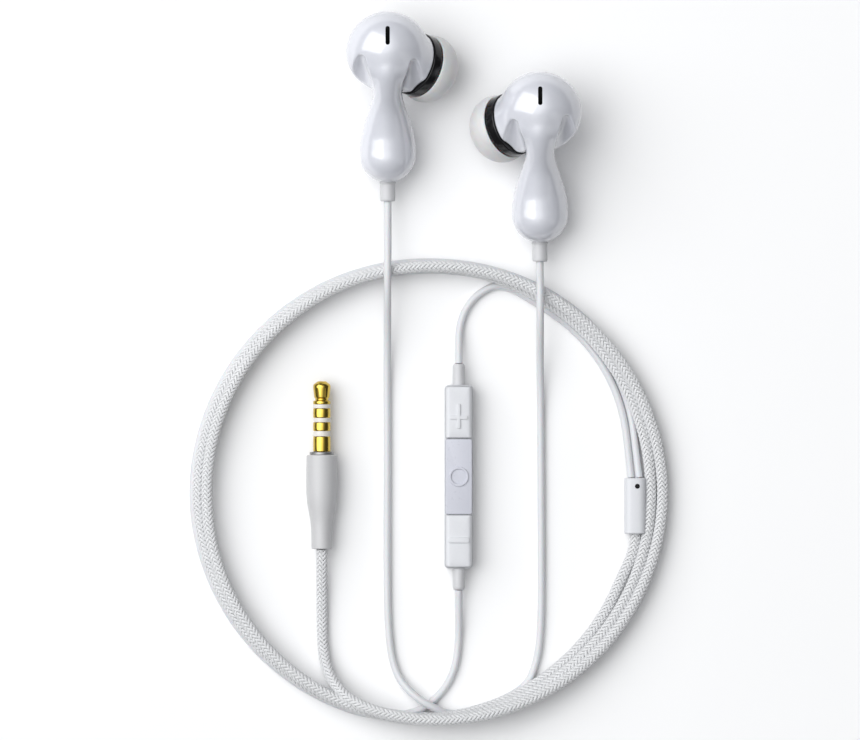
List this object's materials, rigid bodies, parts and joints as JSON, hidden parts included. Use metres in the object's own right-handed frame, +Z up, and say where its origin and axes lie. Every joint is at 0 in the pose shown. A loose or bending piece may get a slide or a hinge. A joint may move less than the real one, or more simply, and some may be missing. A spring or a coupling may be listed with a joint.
{
  "type": "wired earphones",
  "caption": "Wired in-ear earphones with drop-shaped buds, silicone tips, in-line button remote, splitter, and a braided cable wound in a ring to a gold jack plug.",
  "frame": {"origin": "on the table the set lies on, under the middle of the two earbuds together", "axes": "+Z up off the table, +Y from the plug's cable end towards the earbuds, the way the plug's shaft points, +X to the right"},
  "size_m": [0.0953, 0.1414, 0.02],
  "materials": {
    "pearl_white": "glossy moulded",
    "grey_white": "satin gloss",
    "satin_white": "satin",
    "black_gloss": "glossy",
    "black_mesh": "matte",
    "silicone": "soft satin",
    "steel": "brushed",
    "copper": "drawn wire",
    "film": "thin film",
    "board": "solder mask",
    "gold": "polished plating",
    "insulator": "moulded",
    "braid": "woven braid",
    "lead": "smooth jacket"
  },
  "bodies": {
    "earphone_set": {"left_front_shell": "pearl_white", "left_rear_shell": "pearl_white", "left_vent_mesh": "black_mesh", "left_cord_collar": "satin_white", "left_trim_ring": "black_gloss", "left_sound_tube": "black_gloss", "left_nozzle_mesh": "steel", "left_driver_cup": "steel", "left_driver_magnet": "steel", "left_driver_top_plate": "steel", "left_voice_coil": "copper", "left_diaphragm": "film", "left_diaphragm_rim": "copper", "right_front_shell": "pearl_white", "right_rear_shell": "pearl_white", "right_vent_mesh": "black_mesh", "right_cord_collar": "satin_white", "right_trim_ring": "black_gloss", "right_sound_tube": "black_gloss", "right_nozzle_mesh": "steel", "right_driver_cup": "steel", "right_driver_magnet": "steel", "right_driver_top_plate": "steel", "right_voice_coil": "copper", "right_diaphragm": "film", "right_diaphragm_rim": "copper", "remote_front_shell": "pearl_white", "remote_rear_shell": "pearl_white", "remote_circuit_board": "board", "remote_dome_switches": "steel", "remote_microphone": "steel", "remote_upper_collar": "satin_white", "remote_lower_collar": "satin_white", "splitter_front_shell": "pearl_white", "splitter_rear_shell": "pearl_white", "splitter_crimp_block": "copper", "splitter_dot": "black_gloss", "plug_tip": "gold", "plug_first_ring": "gold", "plug_second_ring": "gold", "plug_sleeve": "gold", "plug_insulator": "insulator", "plug_flange": "satin_white", "plug_boot": "satin_white", "plug_cable_crimp": "copper", "cable_coil": "braid", "plug_lead": "braid", "left_lead": "lead", "right_lead": "lead", "remote_upper_lead": "lead", "remote_lower_lead": "lead"},
    "left_tip": {"left_ear_tip": "silicone"},
    "right_tip": {"right_ear_tip": "silicone"},
    "plus_key": {"remote_plus_button": "pearl_white"},
    "centre_key": {"remote_centre_button": "grey_white"},
    "minus_key": {"remote_minus_button": "pearl_white"}
  },
  "joints": [
    {"name": "plus_press", "type": "slide", "parent": "earphone_set", "child": "plus_key", "axis": [0, 0, -1], "range_m": [0, 0.00035], "stiffness_N_per_m": 1500},
    {"name": "centre_press", "type": "slide", "parent": "earphone_set", "child": "centre_key", "axis": [0, 0, -1], "range_m": [0, 0.00035], "stiffness_N_per_m": 1500},
    {"name": "minus_press", "type": "slide", "parent": "earphone_set", "child": "minus_key", "axis": [0, 0, -1], "range_m": [0, 0.00035], "stiffness_N_per_m": 1500},
    {"name": "left_tip_pull", "type": "slide", "parent": "earphone_set", "child": "left_tip", "axis": [0.7407, -0.2803, -0.6106], "range_m": [0, 0.0052]},
    {"name": "right_tip_pull", "type": "slide", "parent": "earphone_set", "child": "right_tip", "axis": [-0.7407, -0.2803, -0.6106], "range_m": [0, 0.0052]}
  ]
}
